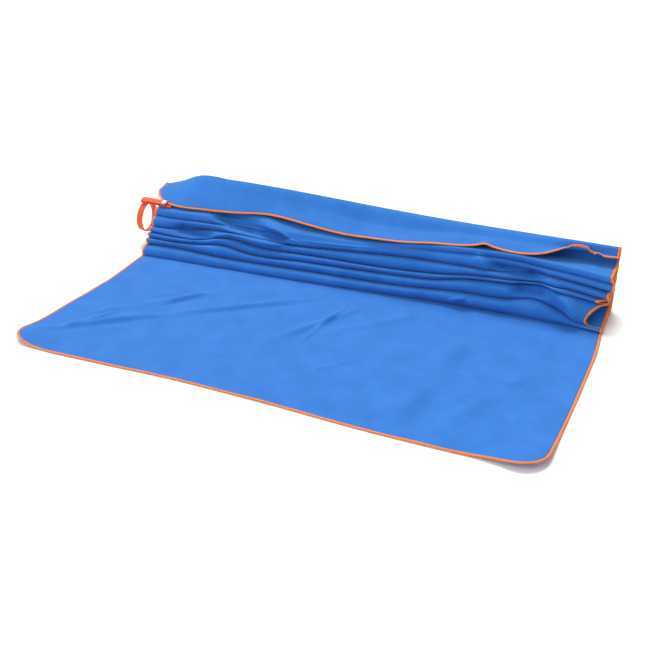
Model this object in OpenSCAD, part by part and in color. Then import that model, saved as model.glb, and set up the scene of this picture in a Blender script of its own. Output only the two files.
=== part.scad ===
// Quick-dry travel towel, half spread out.
// The front lies flat, the middle is gathered into five pleats that run from side to side,
// and the rear end is folded over the pile as a flap. A webbing loop hangs at the left end.
// Millimetres, +Z up. The origin lies on the floor, half way across the towel's width
// and half way between its front edge and the rear of the pile.

/* [Towel] */
// Width of the towel, from side to side
towel_w = 800; // [640:5:960]
// Length of the towel when it is spread flat
towel_length = 1500; // [1250:10:1800]
// Thickness of a cloth panel
cloth_t = 2; // [1.2:0.1:2.4]
// Radius of the towel's corners
corner_r = 50; // [30:1:60]

/* [Edging] */
// Width of the overlocked edging
edging_w = 3.5; // [2.5:0.1:5]
// Thickness of the overlocked edging
edging_t = 2.6; // [2.4:0.1:3.6]

/* [Flat front] */
// Depth of the flat front at the left side, from its edge to the first pleat
panel_depth = 335; // [280:1:402]
// Extra depth of the flat front at the right side
fold_skew = 53; // [0:1:64]
// Room left between the folded-back front and the first pleat
fold_room = 9; // [6:1:20]
// Gap at the press crease, and between the folded-back front and the panel behind it
crease_gap = 0.4; // [0.3:0.1:0.8]

/* [Pleats] */
// Height of one pleat at the back of the pile
pleat_h = 19; // [15:0.2:23]
// Slope of the top pleat, down towards the front
top_slope = 17; // [10:1:20]
// Gap between neighbouring layers
layer_gap = 0.3; // [0.2:0.1:0.6]

/* [Back flap] */
// Length of the flap at the left side, from crest to hem
flap_left = 74; // [60:0.2:90]
// Length of the flap at the right side, from crest to hem
flap_right = 50; // [40:1:62]
// Radius of the rolled fold along the crest
crest_r = 5; // [3:0.5:6]
// Depth of the top pleat that shows in front of the hem
ledge = 20; // [18:0.5:26]

/* [Hanging loop] */
// Width of the webbing
strap_w = 13; // [10:0.2:16]
// Thickness of the webbing
strap_t = 1.4; // [1:0.1:1.8]
// Outer radius of the loop
loop_r = 24.5; // [20:0.5:28]
// Distance that the strap stands out past the towel's left side
strap_reach = 31.5; // [28:0.5:40]
// Length of the strap that lies on the top pleat
strap_seat = 32; // [28:0.5:45]

/* [Press stud] */
// Distance from the towel's left side to the press stud
snap_inset = 15; // [12:0.5:18]
// Radius of the cap
cap_r = 5; // [4:0.1:6]
// Height of the cap
cap_h = 1.6; // [1.2:0.1:2.4]
// Outer radius of the socket
socket_r = 4.7; // [4:0.1:5.5]
// Height of the socket
socket_h = 2; // [1.6:0.1:2.6]
// Radius of the stud's head
stud_r = 2.6; // [2.2:0.1:3.2]
// Radius of the post that holds the socket and of the prong that holds the stud
post_r = 1.9; // [1.4:0.1:2]
// Free space round each moving face of the press stud
snap_gap = 0.3; // [0.2:0.05:0.4]

/* [Hidden] */

blue = "royalblue";
orange = "orangered";
steel = "silver";

pleats = 5;
arc_steps = 10;
flange_t = 0.8;
overshoot = 1;
half_w = towel_w / 2;
inner_half_w = half_w - edging_w;

// The pleats take up the length that the flat front and the flap leave.
pleat_depth = (towel_length - panel_depth - flap_left) / (2 * pleats);

// Crest: its axis stands clear of the top pleat's rear fold, both above and behind it.
back_r = pleat_h / 2;
crest_lift = edging_t / 2 + layer_gap + 0.1;
crest_up = back_r + crest_lift;
crest_back = max(back_r + edging_t / 2 + 1, sqrt(pow(back_r + crest_r + layer_gap, 2) - pow(crest_up, 2)));
crest_dy = crest_back * cos(top_slope) - crest_up * sin(top_slope);
crest_dz = crest_back * sin(top_slope) + crest_up * cos(top_slope);

// Depth of the top pleat, from its rear fold's centre to its nose, at the left side.
top_reach_left = flap_left * cos(top_slope) + ledge - crest_dy;
back_y = panel_depth - top_reach_left + 2 * pleat_depth;
crest_y = back_y + crest_dy;
crest_z = cloth_t + (pleats - 0.5) * pleat_h + crest_dz;
origin_y = (crest_y + crest_r) / 2;

// The press crease leaves the folded-back front just short of the first pleat.
crease_y = (panel_depth - fold_room) / 2;

// Places on the strap. Heights are above the top pleat, along its normal.
strap_v = flap_left + ledge / 2;
anchor_z = flange_t + 0.1;
anchor_top = anchor_z + strap_t;
socket_top = anchor_top + socket_h;
tab_z = socket_top + 2 * snap_gap;
snap_x = -half_w + snap_inset;
strap_y = crest_y - strap_v * cos(top_slope);
loop_x = -half_w - strap_reach;
loop_top = crest_z - strap_v * sin(top_slope) - (crest_lift - anchor_z) * cos(top_slope)
    - strap_w / 2 * sin(top_slope) - layer_gap;

// Layer planes: plane i is the underside of pleat i and the top of pleat i - 1.
function plane_slope(i) = tan(top_slope * i / pleats);
function plane_z(i, y) = cloth_t + i * pleat_h + plane_slope(i) * (y - back_y);
function secant(i) = sqrt(1 + pow(plane_slope(i), 2));

// Centre height and radius of the round that touches planes i and i + 1 at depth y.
function round_z(i, y) = (plane_z(i, y) / secant(i) + plane_z(i + 1, y) / secant(i + 1))
    / (1 / secant(i) + 1 / secant(i + 1));
function round_r(i, y) = (round_z(i, y) - plane_z(i, y)) / secant(i);

// Depth of pleat i's nose; end is 0 at the left side and 1 at the right side.
function first_nose(end) = panel_depth + end * fold_skew;
function hem_reach(end) = (end == 0 ? flap_left : flap_right) * cos(top_slope) + ledge;
function nose_y(i, end) = first_nose(end)
    + (crest_y - hem_reach(end) - first_nose(end)) * i / (pleats - 1);

// Depth of the nose round's centre, worked out from the rate at which its radius grows.
function radius_rate(i) = round_r(i, back_y + 1) - round_r(i, back_y);
function nose_centre_y(i, end) = (nose_y(i, end) + round_r(i, back_y) - radius_rate(i) * back_y)
    / (1 - radius_rate(i));

function arc(centre, r, from, to) = [
    for (k = [0 : arc_steps]) centre + r * [
        cos(from + (to - from) * k / arc_steps),
        sin(from + (to - from) * k / arc_steps)
    ]
];

// Outline of pleat i, as [depth, height] points: a nose round, a rear round and flat sides.
function pleat_outline(i, end, inset) =
    let (
        nose = nose_centre_y(i, end),
        low = top_slope * i / pleats,
        high = top_slope * (i + 1) / pleats,
        trim = layer_gap / 2 + inset
    )
    concat(
        arc([nose, round_z(i, nose)], round_r(i, nose) - trim, 270 + low, 90 + high),
        arc([back_y, round_z(i, back_y)], round_r(i, back_y) - trim, 90 + high, low - 90)
    );

// Outline of the flap in its own plane, with the crest's axis along y = 0.
hem_angle = atan((flap_left - flap_right) / towel_w);
function hem_y(x, inset) = -flap_left + (x + half_w) * tan(hem_angle) + inset / cos(hem_angle);
function flap_corner(side, inset) =
    let (
        room = side < 0 ? flap_left : flap_right,
        r = min(corner_r, room - crest_r - edging_w) - inset,
        x = side * (half_w - inset - r)
    )
    arc([x, hem_y(x, inset) + r / cos(hem_angle)], r,
        side < 0 ? 180 : 270 + hem_angle, side < 0 ? 270 + hem_angle : 360);
function flap_outline(inset, rear) = concat(
    [[half_w - inset, rear], [-half_w + inset, rear]],
    flap_corner(-1, inset),
    flap_corner(1, inset)
);

module placed() {
    translate([0, -origin_y, 0]) children();
}

// Puts a section drawn as [depth, height] across the towel, from x upwards.
module across(x, length) {
    translate([x, 0, 0]) rotate([90, 0, 90]) linear_extrude(length) children();
}

// Plane through the crest's axis, parallel to the top pleat.
module at_crest() {
    placed() translate([0, crest_y, crest_z]) rotate([top_slope, 0, 0]) children();
}

// Point on the strap: x across the towel, z above the top pleat.
module on_strap(x, z) {
    at_crest() translate([x, -strap_v, z - crest_lift]) children();
}

module front_outline(inset, rear) {
    r = corner_r - inset;
    translate([-half_w + inset, corner_r]) square([2 * (half_w - inset), rear - corner_r]);
    translate([-half_w + corner_r, inset]) square([towel_w - 2 * corner_r, r + overshoot]);
    for (side = [-1, 1])
        translate([side * (half_w - corner_r), corner_r]) circle(r = r, $fn = 96);
}

module front_panel() {
    color(blue) placed() linear_extrude(cloth_t)
        front_outline(edging_w, crease_y - crease_gap / 2);
}

module front_edging() {
    color(orange) placed() linear_extrude(edging_t) difference() {
        front_outline(0, crease_y - crease_gap / 2);
        front_outline(edging_w, crease_y + overshoot);
    }
}

module rear_panel() {
    depth = back_y - crease_y - crease_gap / 2;
    color(blue) placed() translate([-inner_half_w, crease_y + crease_gap / 2, 0])
        cube([2 * inner_half_w, depth, cloth_t]);
}

module panel_edging() {
    depth = panel_depth - crease_y - crease_gap / 2;
    color(orange) placed() for (end = [0, 1])
        translate([end == 0 ? -half_w : inner_half_w, crease_y + crease_gap / 2, 0])
            cube([edging_w, depth + end * fold_skew, edging_t]);
}

module pleat(i) {
    skin = 0.02;
    color(blue) placed() hull() for (end = [0, 1])
        across(end == 0 ? -inner_half_w : inner_half_w - skin, skin)
            polygon(pleat_outline(i, end, 0));
}

module pleat_edging(end) {
    x = end == 0 ? -half_w : inner_half_w;
    color(orange) placed() for (i = [0 : pleats - 1]) across(x, edging_w) difference() {
        polygon(pleat_outline(i, end, 0));
        polygon(pleat_outline(i, end, edging_t));
    }
}

module crest_fold() {
    color(blue) at_crest() rotate([0, 90, 0])
        cylinder(h = towel_w, r = crest_r, center = true, $fn = 48);
}

module back_flap() {
    color(blue) at_crest() translate([0, 0, -cloth_t / 2]) linear_extrude(cloth_t)
        polygon(flap_outline(edging_w, -crest_r - layer_gap));
}

module flap_edging() {
    rear = -crest_r - layer_gap;
    color(orange) at_crest() translate([0, 0, -edging_t / 2]) linear_extrude(edging_t)
        difference() {
            polygon(flap_outline(0, rear));
            polygon(flap_outline(edging_w, rear + overshoot));
        }
}

module snap_hole(h) {
    translate([0, 0, -overshoot]) cylinder(h = h + 2 * overshoot, r = post_r, $fn = 48);
}

// The strap's lower layer, with the stack of webbing that the loop's ends are sewn into.
module strap_anchor() {
    color(orange) difference() {
        union() {
            on_strap(loop_x, anchor_z) translate([0, -strap_w / 2, 0])
                cube([strap_reach + strap_seat, strap_w, strap_t]);
            on_strap(loop_x, anchor_z) translate([0, -strap_w / 2, 0])
                cube([strap_w, strap_w, tab_z + strap_t - anchor_z]);
        }
        on_strap(snap_x, anchor_z) snap_hole(strap_t);
    }
}

// Three bar tacks that sew the strap's end to the top pleat.
module strap_stitching() {
    tack_w = 1;
    tack_h = 0.5;
    color(orange) for (k = [0 : 2])
        on_strap(-half_w + strap_seat - 2 - 2 * k, anchor_top)
            translate([-tack_w / 2, -strap_w / 2 + 1, 0]) cube([tack_w, strap_w - 2, tack_h]);
}

module hanging_loop() {
    color(orange) placed() translate([loop_x, strap_y, loop_top - loop_r]) rotate([0, 90, 0])
        difference() {
            cylinder(h = strap_w, r = loop_r, $fn = 96);
            translate([0, 0, -overshoot])
                cylinder(h = strap_w + 2 * overshoot, r = loop_r - strap_t, $fn = 96);
        }
}

// The strap's free end, which carries the cap and the stud.
module closing_tab() {
    start = loop_x + strap_w + layer_gap;
    stop = snap_x + strap_w / 2 + 1;
    color(orange) difference() {
        on_strap(start, tab_z) translate([0, -strap_w / 2, 0])
            cube([stop - start, strap_w, strap_t]);
        on_strap(snap_x, tab_z) snap_hole(strap_t);
    }
}

// Flange under the strap, and the post that holds the socket.
module snap_post() {
    color(steel) on_strap(snap_x, anchor_z - flange_t) {
        cylinder(h = flange_t, r = socket_r, $fn = 64);
        translate([0, 0, flange_t]) cylinder(h = strap_t, r = post_r, $fn = 48);
    }
}

module snap_socket() {
    floor_t = 0.4;
    bore_r = stud_r + snap_gap;
    color(steel) on_strap(snap_x, anchor_top) rotate_extrude($fn = 64) polygon([
        [0, 0], [socket_r, 0], [socket_r, socket_h - 0.4], [socket_r - 0.4, socket_h],
        [bore_r, socket_h], [bore_r, floor_t], [0, floor_t]
    ]);
}

module snap_stud() {
    head_bottom = anchor_top + 0.4 + snap_gap;
    flange_z = socket_top + snap_gap;
    color(steel) on_strap(snap_x, 0) rotate_extrude($fn = 64) polygon([
        [0, head_bottom], [stud_r - 0.4, head_bottom], [stud_r, head_bottom + 0.4],
        [stud_r, flange_z], [socket_r - 0.5, flange_z], [socket_r - 0.5, tab_z], [0, tab_z]
    ]);
}

// Domed cap with the prong that holds it to the stud through the webbing.
module snap_cap() {
    crown = 2 * cap_h / 3;
    color(steel) on_strap(snap_x, tab_z) {
        cylinder(h = strap_t, r = post_r, $fn = 48);
        translate([0, 0, strap_t]) rotate_extrude($fn = 64) polygon(concat(
            [[0, 0], [cap_r, 0]],
            [for (a = [0 : 15 : 90]) [cap_r * cos(a), cap_h - crown + crown * sin(a)]]
        ));
    }
}

front_panel();
front_edging();
rear_panel();
panel_edging();
pleat(0);  // bottom_pleat
pleat(1);  // second_pleat
pleat(2);  // third_pleat
pleat(3);  // fourth_pleat
pleat(4);  // top_pleat
pleat_edging(0);  // left_pleat_edging
pleat_edging(1);  // right_pleat_edging
crest_fold();
back_flap();
flap_edging();
strap_anchor();
strap_stitching();
hanging_loop();
closing_tab();
snap_post();
snap_socket();
snap_stud();
snap_cap();
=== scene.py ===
"""Quick-dry travel towel, half spread out: cloth, edging, webbing loop and press stud."""
import math

import bpy
import numpy as np
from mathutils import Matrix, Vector, noise


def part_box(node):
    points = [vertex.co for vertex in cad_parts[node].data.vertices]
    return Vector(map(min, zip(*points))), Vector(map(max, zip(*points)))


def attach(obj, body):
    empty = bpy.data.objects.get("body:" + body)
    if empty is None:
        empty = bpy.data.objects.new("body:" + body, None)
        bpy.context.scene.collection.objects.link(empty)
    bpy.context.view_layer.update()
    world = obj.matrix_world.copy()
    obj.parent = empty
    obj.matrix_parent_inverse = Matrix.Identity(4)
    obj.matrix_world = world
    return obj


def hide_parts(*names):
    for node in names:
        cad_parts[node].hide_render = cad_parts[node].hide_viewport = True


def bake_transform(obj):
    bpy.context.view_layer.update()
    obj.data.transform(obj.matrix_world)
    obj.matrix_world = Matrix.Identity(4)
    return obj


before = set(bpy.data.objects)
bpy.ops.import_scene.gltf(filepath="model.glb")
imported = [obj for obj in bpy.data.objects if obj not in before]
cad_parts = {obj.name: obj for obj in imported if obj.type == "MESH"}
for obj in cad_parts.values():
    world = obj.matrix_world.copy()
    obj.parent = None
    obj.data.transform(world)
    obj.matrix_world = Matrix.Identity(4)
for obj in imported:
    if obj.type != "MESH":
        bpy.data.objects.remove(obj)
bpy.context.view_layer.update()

# ---------------------------------------------------------------- sizes from the frame
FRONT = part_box("front_edging")[0].y
HALF_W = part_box("front_edging")[1].x
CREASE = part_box("front_panel")[1].y - FRONT
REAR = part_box("rear_panel")[1].y - FRONT
TOP_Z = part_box("crest_fold")[1].z
CORNER_R = 0.038
CLOTH_T = 0.0008
LOWEST = 0.0008
PILE_LOWEST = 0.0022
WRINKLE = 1.3
PLEATS = 5

EDGING_W = 0.0045
EDGING_T = 0.0026
EDGING_STEP = 0.0010
EDGING_SIDES = 8
COLUMNS = 321
CORNER_ROWS = 12
NOSE_ROWS = 16
REAR_ROWS = 6
LAYER_ROWS = 7
FOLD_STEP = 0.018
FLAP_LOW = 0.0028 + FOLD_STEP * (PLEATS - 0.5)
BACK = REAR - 0.008


def curve(*points):
    """Smooth function of x through a few (x, value) points."""
    xs = np.array([p[0] for p in points], float)
    ys = np.array([p[1] for p in points], float)
    slope = np.gradient(ys, xs)

    def value(x):
        x = np.clip(x, xs[0], xs[-1])
        i = np.clip(np.searchsorted(xs, x) - 1, 0, len(xs) - 2)
        h = xs[i + 1] - xs[i]
        t = (x - xs[i]) / h
        a = ys[i] * (1 + 2 * t) * (1 - t) ** 2 + ys[i + 1] * t * t * (3 - 2 * t)
        return a + h * t * (1 - t) * (slope[i] * (1 - t) - slope[i + 1] * t)

    return value


def smooth(t):
    t = np.clip(t, 0, 1)
    return t * t * (3 - 2 * t)


def ramp(x, a, b):
    """0 before a and 1 after b."""
    return smooth((x - a) / (b - a))


def bell(d):
    return np.exp(-np.minimum(d * d, 40))


def fractal(x, y, size, seed):
    """Soft noise of about -1 to 1, with features of the given size in metres."""
    out = np.empty(np.broadcast(x, y).shape)
    xb, yb = np.broadcast_arrays(x, y)
    for k, (a, b) in enumerate(zip(xb.ravel(), yb.ravel())):
        out.flat[k] = noise.noise(Vector((a / size, b / size, seed)))
    return out


# ---------------------------------------------------------------- the towel's fold lines
# Heights of the valleys between the pleats on the front of the pile, by place across the towel.
VALLEYS = [
    curve((-0.40, 0.002), (-0.2, 0.002), (-0.08, 0.003), (0.03, 0.006), (0.13, 0.008), (0.23, 0.008),
          (0.33, 0.004), (0.40, 0.003)),
    curve((-0.40, 0.022), (-0.34, 0.023), (-0.25, 0.020), (-0.08, 0.021), (0.08, 0.022), (0.18, 0.027),
          (0.25, 0.028), (0.30, 0.033), (0.34, 0.022), (0.37, 0.012), (0.40, 0.008)),
    curve((-0.40, 0.031), (-0.34, 0.030), (-0.29, 0.033), (-0.25, 0.037), (-0.2, 0.031), (-0.08, 0.033),
          (0.08, 0.036), (0.13, 0.038), (0.18, 0.046), (0.27, 0.051), (0.31, 0.054), (0.35, 0.048),
          (0.40, 0.044)),
    curve((-0.40, 0.039), (-0.345, 0.037), (-0.30, 0.038), (-0.25, 0.047), (-0.17, 0.042),
          (-0.08, 0.043), (0.08, 0.044), (0.14, 0.047), (0.2, 0.053), (0.27, 0.056), (0.31, 0.058),
          (0.36, 0.054), (0.40, 0.050)),
    curve((-0.40, 0.047), (-0.36, 0.048), (-0.30, 0.055), (-0.25, 0.056), (-0.17, 0.055),
          (-0.12, 0.053), (-0.04, 0.057), (0.08, 0.063), (0.17, 0.064), (0.24, 0.065), (0.29, 0.071),
          (0.34, 0.068), (0.40, 0.062)),
]
TUCK = curve((-0.40, 0.063), (-0.36, 0.063), (-0.30, 0.064), (-0.24, 0.064), (-0.20, 0.061),
             (-0.14, 0.060), (0.03, 0.068), (0.09, 0.076), (0.14, 0.079), (0.20, 0.083), (0.26, 0.084),
             (0.30, 0.081), (0.35, 0.078), (0.40, 0.074))
TUCK_DEPTH = curve((-0.40, 0.008), (-0.24, 0.009), (-0.17, 0.008), (-0.12, 0.001), (0.05, 0.0),
                   (0.12, 0.005), (0.20, 0.009), (0.40, 0.008))
NOSE_TOP = curve((-0.40, 0.070), (-0.3, 0.073), (-0.2, 0.073), (-0.1, 0.070), (0, 0.071), (0.09, 0.081),
                 (0.2, 0.088), (0.3, 0.089), (0.40, 0.084))
FOLD_LINE = curve((-0.40, 0.330), (-0.2, 0.345), (0, 0.359), (0.13, 0.369), (0.22, 0.375),
                  (0.30, 0.381), (0.40, 0.386))
LEAN = curve((-0.40, 0.85), (0, 0.62), (0.40, 0.354))
HEM_Y = curve((-0.40, 0.420), (-0.385, 0.409), (-0.36, 0.400), (-0.3, 0.402), (-0.25, 0.408),
              (-0.19, 0.418), (-0.10, 0.411), (0, 0.406), (0.07, 0.405), (0.14, 0.416), (0.2, 0.422),
              (0.3, 0.428), (0.34, 0.446), (0.40, 0.450))
HEM_LIFT = curve((-0.40, 0.002), (-0.22, 0.001), (-0.12, 0.005), (-0.04, 0.003), (0.02, 0.004),
                 (0.10, 0.001), (0.19, 0.001), (0.203, 0.004), (0.215, 0.001), (0.29, 0.001),
                 (0.325, 0.008), (0.348, 0.008), (0.375, 0.001), (0.40, 0.001))
CREST_DROP = curve((-0.40, 0.021), (-0.37, 0.010), (-0.345, -0.003), (-0.28, -0.006), (-0.19, -0.006),
                   (-0.1, -0.004), (0, -0.001), (0.1, 0.001), (0.40, 0))
DEPTH = curve((-0.40, 0.014), (0.40, 0.015))
# How far the pleats' noses lean in at the right end.
NOSE_SHIFT = {1: -0.026, 2: -0.016, 4: 0.006}
LEFT_SIDE = curve((0, 0.001), (0.07, 0.008), (0.14, 0.011), (0.24, 0.015), (0.30, 0.011), (0.33, 0.008))
RIGHT_SIDE = curve((0, -0.001), (0.08, 0.001), (0.2, 0.004), (0.3, 0.003), (0.33, 0.0))


def envelope(x, h):
    """Depth of the pile's front at height h."""
    return FOLD_LINE(x) - 0.005 + LEAN(x) * h


def tilt(x):
    """Unit vectors up the pile's front and out of it, as (depth, height)."""
    s = LEAN(x)
    n = np.sqrt(1 + s * s)
    return (s / n, 1 / n), (-1 / n, s / n)


def crease(x, h, tail, tip, width, depth, rim):
    """Relief of one long pocket on the pile's front, from its tail to its round tip, with a raised rim."""
    length = math.hypot(tip[0] - tail[0], tip[1] - tail[1])
    ux, uh = (tip[0] - tail[0]) / length, (tip[1] - tail[1]) / length
    t = ((x - tail[0]) * ux + (h - tail[1]) * uh) / length
    across = -(x - tail[0]) * uh + (h - tail[1]) * ux
    half = width * np.sqrt(np.clip(1 - ((t - 0.52) / 0.5) ** 2, 0.04, 1))
    q = np.abs(across) / half
    inside = bell((q / 0.85) ** 2) * smooth((t + 0.05) / 0.3) * (1 - smooth((t - 0.86) / 0.18))
    edge = bell((q - 1.3) / 0.4) * smooth((t - 0.05) / 0.4) * (1 - smooth((t - 0.98) / 0.16))
    return rim * edge - depth * inside


def pucker(x, h, a, b, width, height):
    """Relief of one ridge (or, with a negative height, one groove) from a to b on the pile's front."""
    length = math.hypot(b[0] - a[0], b[1] - a[1])
    ux, uh = (b[0] - a[0]) / length, (b[1] - a[1]) / length
    t = ((x - a[0]) * ux + (h - a[1]) * uh) / length
    across = -(x - a[0]) * uh + (h - a[1]) * ux
    fade = bell(np.maximum(np.abs(t - 0.5) - 0.3, 0) / 0.22)
    return height * bell(across / width) * fade


def front_relief(x, h):
    """How far the pile's front stands out (or in) at a place across the towel and a height."""
    z = crease(x, h, (-0.285, 0.073), (-0.128, 0.057), 0.0105, 0.028, 0.0070)
    z = z + pucker(x, h, (-0.27, 0.0665), (-0.175, 0.0645), 0.0028, 0.010)
    z = z + pucker(x, h, (-0.345, 0.049), (-0.275, 0.046), 0.007, -0.022)
    z = z + pucker(x, h, (-0.315, 0.034), (-0.240, 0.051), 0.003, 0.004)
    z = z + pucker(x, h, (-0.40, 0.040), (-0.320, 0.034), 0.003, 0.003)
    z = z + pucker(x, h, (0.262, 0.043), (0.312, 0.045), 0.008, -0.020)
    z = z + pucker(x, h, (0.312, 0.058), (0.395, 0.012), 0.008, 0.013)
    z = z + pucker(x, h, (0.222, 0.071), (0.295, 0.067), 0.006, -0.026)
    z = z + pucker(x, h, (0.195, 0.082), (0.218, 0.063), 0.006, 0.007)
    z = z + pucker(x, h, (0.165, 0.011), (0.190, 0.020), 0.003, 0.004)
    z = z + pucker(x, h, (0.178, 0.020), (0.205, 0.010), 0.003, 0.004)
    return z + 0.0012 * fractal(x, h, 0.035, 5.5)


def stand_out(x, rows):
    """Adds the front relief to nose rows."""
    out = tilt(x)[1]
    made = []
    for y, z in rows:
        reach = front_relief(x, z)
        made.append((y + out[0] * reach, z + out[1] * reach * 0.5))
    return made


def layer_rows(ya, za, yb, zb, count, sag=0.0):
    """Points along one layer, without its ends."""
    rows = []
    for k in range(1, count + 1):
        t = k / (count + 1)
        rows.append((ya + (yb - ya) * t, za + (zb - za) * t - sag * math.sin(math.pi * t)))
    return rows


def nose_rows(x, low, high, low_depth, high_depth, fullness=1.0):
    """Round front fold from the valley at height low to the one at height high."""
    up, out = tilt(x)
    gap = 0.0005
    a = (high - low) / 2 * np.sqrt(1 + LEAN(x) ** 2) - gap
    mid = (high + low) / 2
    rows = []
    for k in range(NOSE_ROWS + 1):
        angle = math.pi * k / NOSE_ROWS
        depth = low_depth if k < NOSE_ROWS / 2 else high_depth
        c, s = -math.cos(angle), math.sin(angle) ** fullness
        reach = -depth * (1 - s)
        y = envelope(x, mid) + up[0] * a * c + out[0] * reach
        rows.append((y, mid + up[1] * a * c + out[1] * reach))
    return rows


def rear_rows(x, y, low, high, reach=0.009):
    """Round rear fold between two heights at the back of the pile."""
    rows = []
    for k in range(REAR_ROWS + 1):
        angle = math.pi * k / REAR_ROWS
        rows.append((y + reach * math.sin(angle) + 0 * x,
            (low + high) / 2 - (high - low) / 2 * math.cos(angle) + 0 * x))
    return rows


def floor_relief(x, v):
    """Height of the flat front above the floor: press creases, soft ridges and lifted corners."""
    z = np.zeros(np.broadcast(x, v).shape) + 0.001

    def ridge(ax, av, bx, bv, width, height, dark=0.0):
        """Ridge from (ax, av) to (bx, bv), fading towards both ends, with a trough beside it if dark."""
        length = math.hypot(bx - ax, bv - av)
        ux, uv = (bx - ax) / length, (bv - av) / length
        along = ((x - ax) * ux + (v - av) * uv) / length
        across = -(x - ax) * uv + (v - av) * ux
        fade = smooth(along / 0.25) * smooth((1 - along) / 0.25)
        trough = dark * bell((across + 1.8 * width) / (1.4 * width))
        return WRINKLE * fade * (height * bell(across / width) - trough)

    z += ridge(-0.40, 0.025, -0.01, 0.325, 0.006, 0.004, 0.0015)
    z += ridge(-0.36, 0.10, -0.18, 0.27, 0.006, 0.0025, 0.001)
    z += ridge(-0.36, 0.04, -0.30, 0.15, 0.005, 0.002)
    z += ridge(-0.31, 0.13, -0.22, 0.23, 0.005, 0.0018)
    z += ridge(-0.06, 0.12, 0.05, 0.32, 0.007, 0.0028, 0.001)
    z += ridge(0.20, 0.0, 0.225, 0.31, 0.018, 0.0035, 0.001)
    z += ridge(-0.10, 0.155, 0.45, 0.195, 0.0022, 0.0016, 0.0006)
    z += ridge(0.02, 0.20, 0.14, 0.33, 0.010, 0.0022)
    z += ridge(0.26, 0.05, 0.34, 0.24, 0.012, 0.0020)
    z += ridge(-0.27, 0.16, -0.20, 0.26, 0.003, 0.0016, 0.0008)
    z += ridge(-0.29, 0.20, -0.21, 0.24, 0.003, 0.0014, 0.0006)
    z += ridge(0.00, 0.16, 0.02, 0.31, 0.004, 0.0022, 0.0010)
    z += ridge(0.05, 0.10, 0.10, 0.16, 0.004, 0.0012)
    z += ridge(0.05, 0.16, 0.11, 0.17, 0.003, 0.0012)
    z += 0.0022 * np.maximum(0, fractal(x + 0.4 * v, 0.6 * v, 0.07, 3.1))
    z += 0.0005 * (1 + fractal(x, v, 0.03, 7.7))
    left = bell(np.hypot((x + 0.385) / 0.03, (v - 0.005) / 0.035))
    right = bell(np.hypot((x - 0.385) / 0.055, (v - 0.02) / 0.06))
    # The cloth lies flatter along the line where the front folds back.
    z = 0.001 + (z - 0.001) * (1 - 0.8 * bell((v - CREASE) / 0.022))
    return z + 0.007 * left + 0.009 * right


def front_edge_shift(x):
    """How far the front edge wanders from a straight line."""
    return curve((-0.40, -0.004), (-0.36, -0.008), (-0.24, -0.004), (-0.12, 0.004), (0, 0.006),
                 (0.2, 0.004), (0.27, 0.006), (0.34, 0.008), (0.40, 0.002))(x)


def quads(rows, cols, base=0):
    """Faces of a grid of points, numbered row by row from base."""
    index = base + np.arange(rows * cols).reshape(rows, cols)
    return np.stack([index[:-1, :-1], index[:-1, 1:], index[1:, 1:], index[1:, :-1]], -1).reshape(-1, 4)


def grid_mesh(name, points):
    """Mesh of quads through a (rows, columns, 3) array of points, with a UV map in metres."""
    faces = quads(*points.shape[:2])
    mesh = bpy.data.meshes.new(name)
    mesh.from_pydata(points.reshape(-1, 3).tolist(), [], faces.tolist())
    down = np.linalg.norm(np.diff(points, axis=0, prepend=points[:1]), axis=2).cumsum(axis=0)
    along = np.linalg.norm(np.diff(points, axis=1, prepend=points[:, :1]), axis=2).cumsum(axis=1)
    place = np.stack([along, down], -1).reshape(-1, 2)
    layer = mesh.uv_layers.new(name="UVMap")
    layer.data.foreach_set("uv", place[faces.reshape(-1)].astype(np.float32).ravel())
    mesh.shade_smooth()
    obj = bpy.data.objects.new(name, mesh)
    bpy.context.scene.collection.objects.link(obj)
    return obj


def column_x(corner):
    """Places of the columns across a row; corner is the row's distance from the towel's end edge."""
    x = np.linspace(-HALF_W, HALF_W, COLUMNS)
    d = min(corner, CORNER_R)
    half = HALF_W - CORNER_R + math.sqrt(CORNER_R ** 2 - (CORNER_R - d) ** 2)
    straight = HALF_W - 2.5 * CORNER_R
    beyond = np.maximum(np.abs(x) - straight, 0)
    drawn_in = beyond * (half - straight) / (HALF_W - straight)
    return np.sign(x) * (np.minimum(np.abs(x), straight) + drawn_in)


def panel_rows():
    """The flat front, from its edge back to the pile."""
    rows = []
    rounding = [CORNER_R * (1 - math.cos(math.pi / 2 * k / CORNER_ROWS)) for k in range(CORNER_ROWS)]
    steps = rounding + list(np.linspace(CORNER_R, 0.325, 76))
    for d in steps:
        x = column_x(d)
        v = d + front_edge_shift(x) * (1 - smooth(d / 0.3))
        share = d / 0.325
        v = v + (FOLD_LINE(x) - 0.335) * smooth(share) * share
        fade = 1 - 0.8 * smooth((share - 0.93) / 0.07)
        z = LOWEST + (floor_relief(x, v) - LOWEST) * fade
        side = LEFT_SIDE(d) * ramp(-x, 0.25, 0.40) + RIGHT_SIDE(d) * ramp(x, 0.25, 0.40)
        rows.append(np.stack([x + side, v, np.maximum(z, LOWEST)], 1))
    return rows


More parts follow.
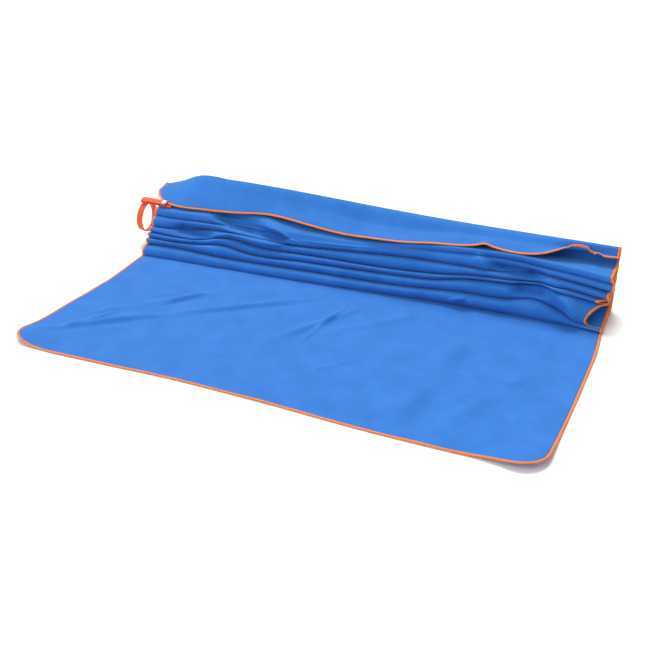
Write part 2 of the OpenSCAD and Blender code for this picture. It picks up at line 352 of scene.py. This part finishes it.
def pile_rows():
    """The gathered middle, from the floor layer to the top pleat's rear fold."""
    x = column_x(1)
    x = x + 0.008 * ramp(-x, 0.25, 0.40)
    rows = []

    def add(pairs, shift=0.0):
        last = max(len(pairs) - 1, 1)
        for n, (y, z) in enumerate(pairs):
            aside = shift * math.sin(math.pi * (n / last) ** 0.6) * ramp(x, 0.33, 0.40)
            rows.append(np.stack([x + aside, y + 0 * x, z + 0 * x], 1))

    heights = [0.001] + [0.002 + FOLD_STEP * (k + 0.5) for k in range(PLEATS)]
    back = BACK
    y_front = envelope(x, VALLEYS[0](x)) + 0.006
    add([(y_front + (back - y_front) * t, 0.001 + 0 * x) for t in (0.02, 0.25, 0.5, 0.75)])
    for k in range(PLEATS):
        add(rear_rows(x, back, heights[k], heights[k + 1]))
        low = VALLEYS[k](x)
        depth = DEPTH(x)
        if k < PLEATS - 1:
            nose = nose_rows(x, low, VALLEYS[k + 1](x), depth, depth)
        else:
            nose = nose_rows(x, low, TUCK(x), depth, TUCK_DEPTH(x))
            upper = nose_rows(x, TUCK(x), NOSE_TOP(x) + 0.006, TUCK_DEPTH(x), depth)
            nose = nose[:-1] + upper[: NOSE_ROWS * 5 // 8]
        nose = [(y, np.maximum(z, PILE_LOWEST)) for y, z in nose]
        add(layer_rows(back, heights[k + 1], nose[0][0], nose[0][1], LAYER_ROWS))
        front = [(y, np.maximum(z, PILE_LOWEST)) for y, z in stand_out(x, nose)]
        add(front, NOSE_SHIFT.get(k, 0.0))
        end = nose[-1]
        if k == PLEATS - 1:
            add(stand_out(x, layer_rows(end[0], end[1], back, FLAP_LOW, 5 * LAYER_ROWS)))
        else:
            add(layer_rows(end[0], end[1], back, heights[k + 1] + 0.0008, LAYER_ROWS))
    add([(back, FLAP_LOW)])
    return rows


def flap_profile(x, t):
    """Share of the flap's drop at share t of its length: even at the left, steep at the right."""
    steep = 0.15 + 0.8 * ramp(x, -0.15, 0.12)
    return steep * smooth(t / 0.45) + (1 - steep) * t


def flap_rows():
    """The rear end of the towel, from the rear fold over the crest to the hem."""
    x = column_x(1)
    rows = []
    back = BACK
    top = TOP_Z + 0.005 - CREST_DROP(x)
    turns = 12
    for k in range(turns + 1):
        angle = math.pi * (-0.5 + 1.12 * k / turns)
        mid, r = (FLAP_LOW + top) / 2, (top - FLAP_LOW) / 2
        rows.append(np.stack([x, back + 0.0085 * math.cos(angle) + 0 * x, mid + r * math.sin(angle)], 1))
    start_y, start_z = rows[-1][:, 1], rows[-1][:, 2]
    spans = 36
    for k in range(1, spans + 1):
        t = k / spans
        d = (1 - t) * 0.075
        xr = column_x(d * CORNER_R / 0.03) if d < 0.03 else x
        hem = HEM_Y(xr)
        y = start_y + (hem - start_y) * t
        pile_top = NOSE_TOP(xr)
        under = pile_top + 0.0035 + (y - envelope(xr, pile_top)) * 0.27
        under = under + HEM_LIFT(xr) * smooth((t - 0.6) / 0.4)
        line = start_z + (under - start_z) * flap_profile(xr, t)
        rows.append(np.stack([xr, y, np.maximum(line, under)], 1))
    for row in rows:
        row[:, 0] -= 0.016 * ramp(-row[:, 0], 0.30, 0.40)
    return rows


def make_sheet(name, rows):
    points = np.array(rows)
    points[:, :, 1] += FRONT
    return grid_mesh(name, points), points


def unit(v):
    return v / np.maximum(np.linalg.norm(v, axis=-1, keepdims=True), 1e-9)


def rim_of(points):
    """Places and normals round a sheet: up one side, along its first row and up the other side."""
    normal = unit(np.cross(np.gradient(points, axis=1), np.gradient(points, axis=0)))

    def path(a):
        return np.concatenate([a[::-1, 0], a[0, 1:-1], a[:, -1]])

    return path(points), path(normal)


def resample(places, normals, step):
    length = np.concatenate([[0], np.cumsum(np.linalg.norm(np.diff(places, axis=0), axis=1))])
    at = np.linspace(0, length[-1], int(length[-1] / step))
    pick = lambda a: np.stack([np.interp(at, length, a[:, k]) for k in range(3)], 1)
    return pick(places), unit(pick(normals))


def make_edging(name, points):
    """Overlocked edging: a flat cord of thread loops wrapped round the sheet's edge."""
    places, normals = resample(*rim_of(points), EDGING_STEP)
    along = unit(np.gradient(places, axis=0))
    inward = unit(np.cross(along, normals))
    normals = unit(np.cross(inward, along))
    swell = np.where(np.arange(len(places)) % 2 == 0, 1.0, 0.86)
    rings = []
    for k in range(EDGING_SIDES):
        angle = 2 * math.pi * k / EDGING_SIDES
        across = EDGING_W * 0.5 * (0.75 - math.cos(angle))
        up = EDGING_T * 0.5 * math.sin(angle)
        rings.append(places + inward * (across * swell[:, None]) + normals * (up * swell[:, None]))
    tube = np.stack(rings + rings[:1], 0)
    tube[:, :, 2] = np.maximum(tube[:, :, 2], 0.0001)
    obj = grid_mesh(name, tube)
    return dress(obj, "edging")


# ---------------------------------------------------------------- materials
def new_material(name):
    """Material with a Principled shader, and its node tree's shorthand for adding and linking nodes."""
    material = bpy.data.materials.new(name)
    material.use_nodes = True
    tree = material.node_tree
    shader = tree.nodes["Principled BSDF"]

    def add(kind, **settings):
        node = tree.nodes.new(kind)
        for key, value in settings.items():
            if key in node.inputs:
                node.inputs[key].default_value = value
            else:
                setattr(node, key, value)
        return node

    return material, shader, add, tree.links.new


def noise_node(add, link, scale, detail=3.0, roughness=0.55):
    place = add("ShaderNodeTexCoord")
    node = add("ShaderNodeTexNoise", Scale=scale, Detail=detail, Roughness=roughness)
    link(place.outputs["Object"], node.inputs["Vector"])
    return node.outputs["Fac"]


def ramp_node(add, link, source, *stops):
    """Colour ramp; each stop is (place, colour)."""
    node = add("ShaderNodeValToRGB")
    while len(node.color_ramp.elements) < len(stops):
        node.color_ramp.elements.new(0.5)
    for element, (place, colour) in zip(node.color_ramp.elements, stops):
        element.position = place
        element.color = (*colour, 1)
    link(source, node.inputs["Fac"])
    return node.outputs["Color"]


def span_node(add, link, source, low, high):
    node = add("ShaderNodeMapRange")
    node.inputs["To Min"].default_value = low
    node.inputs["To Max"].default_value = high
    link(source, node.inputs["Value"])
    return node.outputs["Result"]


def bump_node(add, link, height, strength, distance, under=None):
    node = add("ShaderNodeBump", Strength=strength, Distance=distance)
    link(height, node.inputs["Height"])
    if under is not None:
        link(under, node.inputs["Normal"])
    return node.outputs["Normal"]


def bands_node(add, link, scale, turn=0.0, space="UV"):
    """Wave bands over the UV map (in metres), turned by an angle in degrees."""
    place = add("ShaderNodeTexCoord")
    mapping = add("ShaderNodeMapping", Rotation=(0, 0, math.radians(turn)))
    wave = add("ShaderNodeTexWave", Scale=scale, Distortion=0.4, Detail=1.0)
    link(place.outputs[space], mapping.inputs["Vector"])
    link(mapping.outputs["Vector"], wave.inputs["Vector"])
    return wave.outputs["Fac"]


def suede():
    """Brushed microfibre: a short nap with soft light and dark strokes over a fine knit."""
    material, shader, add, link = new_material("microfibre_suede")
    nap = noise_node(add, link, 22, 5.0, 0.6)
    link(ramp_node(add, link, nap, (0.30, CLOTH_DARK), (0.52, CLOTH_MID),
        (0.78, CLOTH_LIGHT)), shader.inputs["Base Color"])
    pile = noise_node(add, link, 1400, 2.0)
    link(span_node(add, link, pile, 0.72, 0.92), shader.inputs["Roughness"])
    knit = bands_node(add, link, 260, 45, "Object")
    coarse = bump_node(add, link, noise_node(add, link, 160, 4.0), 0.25, 0.0008)
    fine = bump_node(add, link, pile, 0.35, 0.0003, coarse)
    link(bump_node(add, link, knit, 0.08, 0.0002, fine), shader.inputs["Normal"])
    shader.inputs["Specular IOR Level"].default_value = 0.3
    shader.inputs["Sheen Weight"].default_value = 0.22
    shader.inputs["Sheen Roughness"].default_value = 0.45
    shader.inputs["Sheen Tint"].default_value = (0.45, 0.70, 1.0, 1)
    return material


def thread(name, dark, light, pitch):
    """Glossy polyester thread laid in slanted loops; dark is painted shade in the grooves between the
    loops, light is the lit colour of their raised crests; pitch is the number of loops in a metre.
    """
    material, shader, add, link = new_material(name)
    loops = bands_node(add, link, pitch / 3.2, 24)
    # The base colour is painted shade: darker in the grooves between the loops, lighter on their raised
    # crests, on the same bands as the bump.
    link(ramp_node(add, link, loops, (0.15, dark), (0.7, light)), shader.inputs["Base Color"])
    link(span_node(add, link, loops, 0.68, 0.45), shader.inputs["Roughness"])
    wear = bump_node(add, link, noise_node(add, link, 900, 2.0), 0.25, 0.0003)
    link(bump_node(add, link, loops, 0.6, 0.0004, wear), shader.inputs["Normal"])
    shader.inputs["Sheen Weight"].default_value = 0.15
    return material


def webbing_cloth():
    """Ribbed polyester webbing: fine ribs along the strap crossed by the weft, with painted shade in the
    grooves between the weft picks.
    """
    material, shader, add, link = new_material("ribbed_webbing")
    ribs = bands_node(add, link, 330, 90)
    weft = bands_node(add, link, 260, 0)
    # The base colour is painted shade along the weft: darker in the grooves between the picks, lighter on
    # their raised crests, on the same bands as the weft bump.
    link(ramp_node(add, link, weft, (0.1, (0.62, 0.055, 0.008)), (0.8,
        (0.90, 0.105, 0.014))), shader.inputs["Base Color"])
    link(span_node(add, link, noise_node(add, link, 700, 3.0), 0.5, 0.75), shader.inputs["Roughness"])
    under = bump_node(add, link, weft, 0.35, 0.0003)
    link(bump_node(add, link, ribs, 0.5, 0.0003, under), shader.inputs["Normal"])
    shader.inputs["Sheen Weight"].default_value = 0.12
    return material


def nickel():
    """Nickel-plated brass with fine turning marks and slight tarnish."""
    material, shader, add, link = new_material("nickel_plate")
    tarnish = noise_node(add, link, 260, 4.0)
    link(ramp_node(add, link, tarnish, (0.3, (0.56, 0.55, 0.53)), (0.7,
        (0.78, 0.77, 0.75))), shader.inputs["Base Color"])
    link(span_node(add, link, tarnish, 0.18, 0.42), shader.inputs["Roughness"])
    link(bump_node(add, link, noise_node(add, link, 2600, 2.0), 0.1, 0.0001), shader.inputs["Normal"])
    shader.inputs["Metallic"].default_value = 1.0
    return material


CLOTH_DARK = (0.016, 0.142, 0.49)
CLOTH_MID = (0.020, 0.160, 0.54)
CLOTH_LIGHT = (0.027, 0.182, 0.59)
MATERIALS = {
    "cloth": suede(),
    # Each thread's two colours are its painted shade in the grooves between loops and its lit crests.
    "edging": thread("overlock_thread", (0.86, 0.150, 0.013), (1.0, 0.31, 0.04), 560),
    "webbing": webbing_cloth(),
    "thread": thread("sewing_thread", (0.55, 0.06, 0.01), (0.85, 0.12, 0.02), 900),
    "snap_metal": nickel(),
}


def dress(obj, slot):
    obj.data.materials.clear()
    obj.data.materials.append(MATERIALS[slot])
    return obj


# ---------------------------------------------------------------- webbing strap and press stud
STRAP_UP = Vector((0, math.cos(math.radians(17)), math.sin(math.radians(17))))
STRAP_OUT = Vector((0, -STRAP_UP.z, STRAP_UP.y))
STRAP_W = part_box("hanging_loop")[1].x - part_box("hanging_loop")[0].x
STRAP_T = 0.0014


def webbing(name, path, across, width, thickness, closed=False):
    """Band of webbing along a path; across holds the width's direction at each of its points."""
    path = np.array(path, float)
    across = unit(np.broadcast_to(np.array(across, float), path.shape))
    if closed:
        along = unit(np.roll(path, -1, 0) - np.roll(path, 1, 0))
    else:
        along = unit(np.gradient(path, axis=0))
    out = unit(np.cross(along, across))
    ribs = 6
    section = []
    for side in (1, -1):
        for k in range(2 * ribs + 1):
            u = side * (1 - k / ribs)
            rib = 0.10 * math.cos(math.pi * k)
            round_off = math.sqrt(max(0.0, 1 - abs(u) ** 8))
            section.append((u * (0.5 - 0.02), side * 0.5 * (0.35 + 0.65 * round_off) * (0.95 + rib)))
    rings = [path + across * (u * width) + out * (v * thickness) for u, v in section]
    points = np.stack(rings + rings[:1], 1)
    if closed:
        points = np.concatenate([points, points[:1]])
    obj = grid_mesh(name, points)
    return dress(obj, "webbing")


def middle(node):
    low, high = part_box(node)
    return (low + high) / 2


def strap_run(node, height=0.0):
    """Points along a strap node from its outer to its inner end, with a slight sag between them."""
    low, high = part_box(node)
    centre = middle(node)
    points = []
    count = 40
    for k in range(count + 1):
        t = k / count
        wave = height * math.sin(math.pi * t) + 0.00015 * math.sin(9 * t)
        points.append(Vector((low.x + (high.x - low.x) * t, centre.y, centre.z)) + STRAP_OUT * wave)
    return points


def make_loop():
    """Hanging loop: one turn of webbing, a little flattened where it was folded."""
    centre = middle("hanging_loop")
    low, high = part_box("hanging_loop")
    radius = (high.z - low.z) / 2 - STRAP_T / 2
    sag = 0.0030
    count = 96
    path, across = [], []
    for k in range(count):
        a = 2 * math.pi * k / count
        r = radius * (1 - 0.05 * bell((a - math.radians(200)) / 0.4) + 0.03 * math.cos(2 * a + 0.6))
        path.append(centre + Vector((0.0008 * math.sin(2 * a), -r * math.cos(a),
            (r + sag) * math.sin(a) - sag)))
        across.append((1, 0.10 * math.sin(a), 0.10 * math.cos(a)))
    obj = webbing("loop_webbing", path, across, STRAP_W, STRAP_T, closed=True)
    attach(obj, "loop")
    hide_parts("hanging_loop")
    return obj


def make_strap():
    """Lower layer with the folded stack at its outer end, and the free upper layer."""
    run = strap_run("strap_anchor")
    seat = middle("strap_stitching") - STRAP_OUT * 0.0010
    shift = (seat - run[0]).dot(STRAP_OUT)
    lower = webbing("strap_lower", [p + STRAP_OUT * shift for p in run], STRAP_UP, STRAP_W, STRAP_T)
    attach(lower, "towel_body")
    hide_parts("strap_anchor")
    tab = strap_run("closing_tab")
    lift = (tab[0] - run[0]).dot(STRAP_OUT) - shift
    for layer in (1, 2, 3):
        height = STRAP_OUT * (shift + lift * layer / 3)
        stack = [run[0] + Vector((STRAP_W * t / 10, 0, 0)) + height for t in range(11)]
        piece = webbing("strap_fold_%d" % layer, stack, STRAP_UP, STRAP_W - 0.0006, lift / 3)
        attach(piece, "towel_body")
    upper = webbing("strap_upper", tab, STRAP_UP, STRAP_W, STRAP_T)
    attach(upper, "tab")
    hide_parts("closing_tab")


def stitch(start, end, radius, sides=6, count=6):
    """Points of one thread stitch, bowed a little upwards."""
    start, end = Vector(start), Vector(end)
    along = (end - start).normalized()
    up = STRAP_OUT
    side = along.cross(up)
    rings = []
    for k in range(count + 1):
        t = k / count
        centre = start.lerp(end, t) + up * (radius * (2.2 * math.sin(math.pi * t) - 0.4))
        r = radius * (0.35 + 0.65 * math.sin(math.pi * min(max(t, 0.06), 0.94)) ** 0.4)
        turns = [2 * math.pi * n / sides for n in range(sides + 1)]
        rings.append([centre + side * (r * math.cos(a)) + up * (r * math.sin(a)) for a in turns])
    return np.array(rings)


def join_grids(name, grids):
    """One mesh of several grids of points."""
    points, faces, base = [], [], 0
    for grid in grids:
        rows, cols = grid.shape[:2]
        faces += quads(rows, cols, base).tolist()
        points += grid.reshape(-1, 3).tolist()
        base += rows * cols
    mesh = bpy.data.meshes.new(name)
    mesh.from_pydata(points, [], faces)
    mesh.uv_layers.new(name="UVMap")
    mesh.shade_smooth()
    obj = bpy.data.objects.new(name, mesh)
    bpy.context.scene.collection.objects.link(obj)
    return obj


def make_tacks():
    """Three bar tacks, each a close row of stitches across the strap."""
    low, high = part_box("strap_stitching")
    centre = middle("strap_stitching")
    rows = 3
    stitches = 13
    grids = []
    for row in range(rows):
        x = low.x + (high.x - low.x) * (row + 0.5) / rows
        for n in range(stitches):
            along = (n - (stitches - 1) / 2) * (STRAP_W - 0.0030) / stitches
            foot = Vector((x, centre.y, centre.z)) + STRAP_UP * along - STRAP_OUT * 0.0002
            grids.append(stitch(foot - Vector((0.0007, 0, 0)) - STRAP_UP * 0.0002,
                                foot + Vector((0.0007, 0, 0)) + STRAP_UP * 0.0002, 0.00022))
    obj = dress(join_grids("bar_tacks", grids), "thread")
    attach(obj, "towel_body")
    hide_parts("strap_stitching")
    return obj


# ---------------------------------------------------------------- the pieces
towel, towel_points = make_sheet("towel_cloth", panel_rows() + pile_rows())
flap, flap_points = make_sheet("flap_cloth", flap_rows()[::-1])
towel_edging = make_edging("towel_edging", towel_points)
hem_edging = make_edging("hem_edging", flap_points)
for piece in (towel, flap):
    dress(piece, "cloth")
    solid = piece.modifiers.new("thickness", "SOLIDIFY")
    solid.thickness = CLOTH_T
    solid.offset = 0

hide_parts("front_panel", "rear_panel", "bottom_pleat", "second_pleat", "third_pleat",
    "fourth_pleat",
            "top_pleat", "crest_fold")
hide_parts("back_flap")
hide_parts("front_edging", "panel_edging", "left_pleat_edging", "right_pleat_edging")
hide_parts("flap_edging")
for piece in (towel, towel_edging):
    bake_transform(piece)
for piece in (flap, hem_edging):
    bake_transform(piece)
make_loop()
make_strap()
make_tacks()
for node in ("snap_post", "snap_socket", "snap_stud", "snap_cap"):
    part = bpy.data.objects[node]
    for material_slot in part.material_slots:
        material_slot.material = MATERIALS["snap_metal"]


# ---------------------------------------------------------------- floor, light and camera
def make_floor():
    mesh = bpy.data.meshes.new("floor")
    s = 25
    mesh.from_pydata([(-s, -s, 0), (s, -s, 0), (s, s, 0), (-s, s, 0)], [], [(0, 1, 2, 3)])
    obj = bpy.data.objects.new("floor", mesh)
    bpy.context.scene.collection.objects.link(obj)
    material, shader, add, link = new_material("floor_paint")
    shader.inputs["Base Color"].default_value = (0.95, 0.95, 0.95, 1)
    link(span_node(add, link, noise_node(add, link, 3), 0.85, 0.95), shader.inputs["Roughness"])
    mesh.materials.append(material)
    return obj


def soft_sun(name, towards, spread, power):
    """Even soft light from one side; spread is its angle across, in degrees."""
    data = bpy.data.lights.new(name, "SUN")
    data.angle = math.radians(spread)
    data.energy = power
    obj = bpy.data.objects.new(name, data)
    obj.rotation_euler = Vector(towards).to_track_quat("Z", "Y").to_euler()
    bpy.context.scene.collection.objects.link(obj)
    return obj


def make_camera():
    data = bpy.data.cameras.new("camera")
    data.lens = 50
    data.sensor_width = 36
    obj = bpy.data.objects.new("camera", data)
    a, e = math.radians(24.976), math.radians(28.557)
    back = Vector((math.sin(a) * math.cos(e), -math.cos(a) * math.cos(e), math.sin(e)))
    obj.location = Vector((0.0116, -0.0066, 0)) + back * 1.3915
    obj.rotation_euler = (-back).to_track_quat("-Z", "Y").to_euler()
    bpy.context.scene.collection.objects.link(obj)
    bpy.context.scene.camera = obj
    return obj


def light_world(strength):
    world = bpy.data.worlds.new("studio")
    world.use_nodes = True
    world.node_tree.nodes["Background"].inputs[0].default_value = (1, 1, 1, 1)
    world.node_tree.nodes["Background"].inputs[1].default_value = strength
    bpy.context.scene.world = world


bpy.context.scene.view_settings.view_transform = "Standard"
make_floor()
light_world(0.54)
soft_sun("key", (-0.25, 0.45, 1.0), 28, 2.5)
soft_sun("fill", (-0.9, -1.0, 0.8), 60, 1.3)
make_camera()
